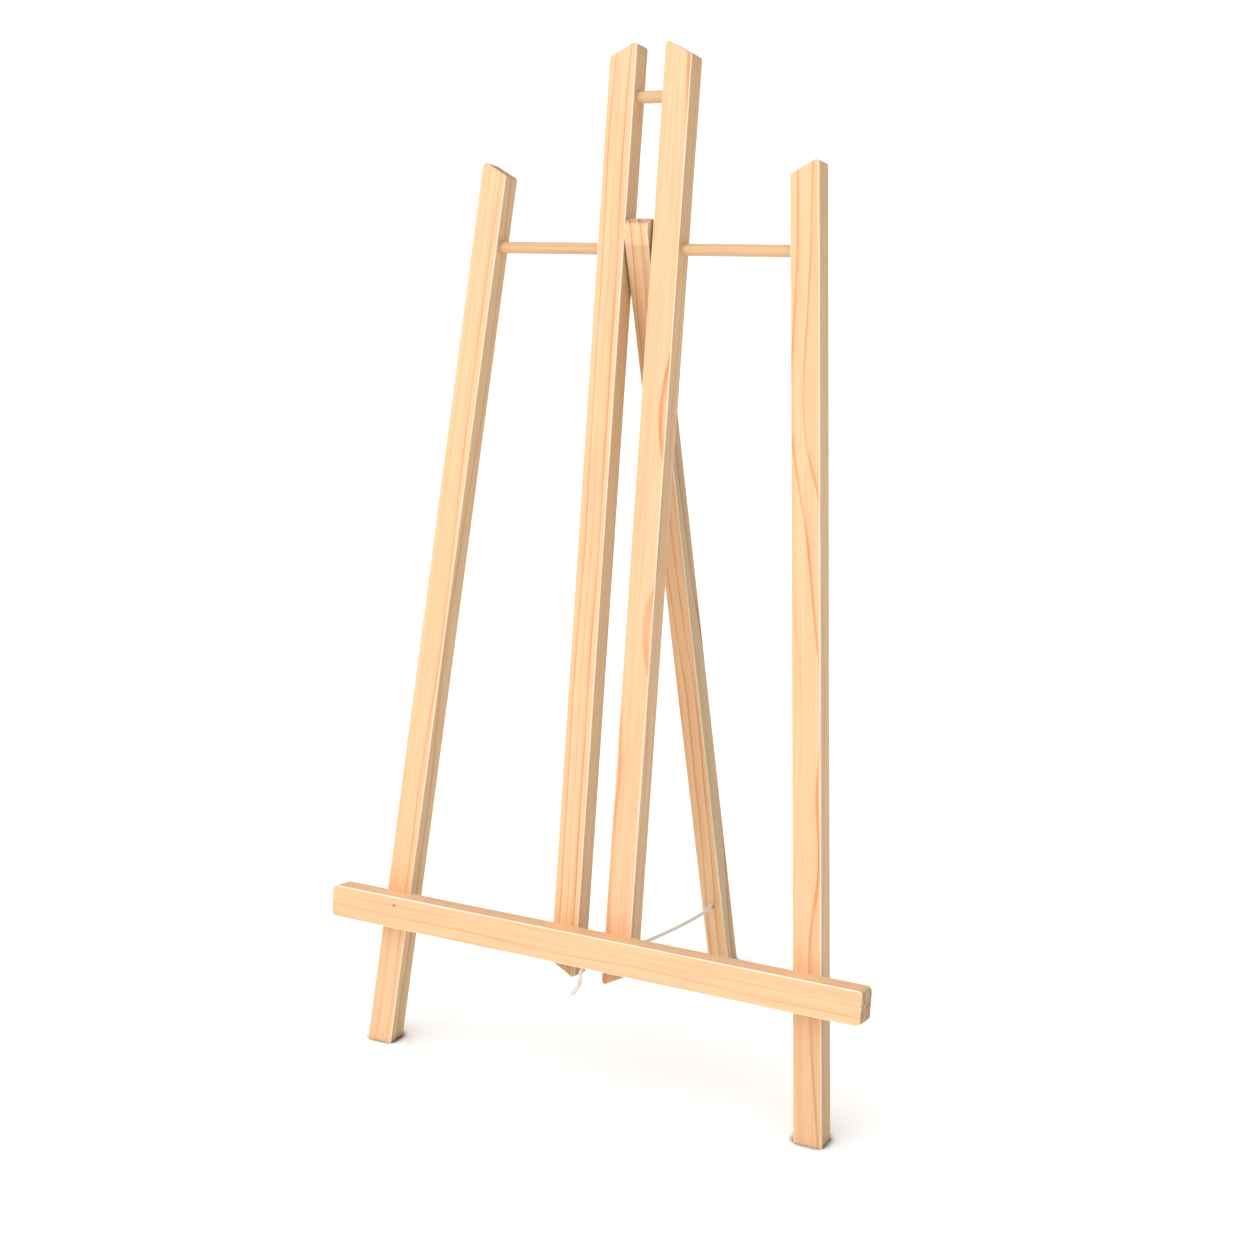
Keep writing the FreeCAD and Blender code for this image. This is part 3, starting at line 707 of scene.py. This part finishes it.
def make_sky():
    """Light from above and the front left. The camera itself sees plain white behind the easel."""
    world = bpy.data.worlds.new("studio")
    world.use_nodes = True
    tree = world.node_tree
    w = Wiring(tree)
    background = tree.nodes["Background"]
    direction = tree.nodes.new("ShaderNodeTexCoord").outputs["Generated"]
    seen = tree.nodes.new("ShaderNodeLightPath").outputs["Is Camera Ray"]
    towards = w.vector("DOT_PRODUCT", direction, SKY_LIGHT_FROM)
    level = w.step(towards, 0.0, 0.9, SKY_DIM, SKY_BRIGHT)
    level = w.math("MAXIMUM", level, w.math("MULTIPLY", seen, BACKDROP))
    w.feed(background.inputs["Color"], w.combine(level, level, level))
    background.inputs["Strength"].default_value = 1.0
    bpy.context.scene.world = world


def add_lamp(name, kind, place, target, energy, tint, **settings):
    light = bpy.data.lights.new(name, kind)
    light.energy = energy
    light.color = tint
    for setting, value in settings.items():
        setattr(light, setting, value)
    lamp = bpy.data.objects.new(name, light)
    lamp.location = place
    lamp.rotation_mode = "QUATERNION"
    lamp.rotation_quaternion = (Vector(target) - Vector(place)).to_track_quat("-Z", "Y")
    bpy.context.scene.collection.objects.link(lamp)
    return lamp


def make_studio():
    bpy.context.scene.view_settings.view_transform = "Standard"
    floor = make_floor()
    make_sky()
    key = add_lamp("key", "AREA", place=(-0.95, -1.75, 1.9), target=(0, 0, 0.55), energy=14,
                   tint=(1.0, 0.99, 0.98), shape="RECTANGLE", size=1.3, size_y=1.3)
    # A thin strip to the right of the camera, for the light along the right-hand edges.
    add_lamp("edge_strip", "AREA", place=(2.1, -1.08, 0.9), target=(0, 0, 0.45), energy=2.2,
             tint=(1.0, 0.98, 0.95), shape="RECTANGLE", size=0.14, size_y=1.7)
    wash = add_lamp("floor_wash", "SUN", place=(-0.4, -0.15, 1.0), target=(0, 0, 0), energy=1.45,
                    tint=(1.0, 1.0, 1.0), angle=math.radians(70))
    # The wash lights only the floor, and the key everything else, so the floor's shadows stay soft.
    for lamp, state in ((wash, "INCLUDE"), (key, "EXCLUDE")):
        floor_only = bpy.data.collections.new("floor_for_" + lamp.name)
        floor_only.objects.link(floor)
        floor_only.collection_objects[0].light_linking.link_state = state
        lamp.light_linking.receiver_collection = floor_only


make_camera()
make_cord()
paint_wood()
paint_steel()
make_studio()
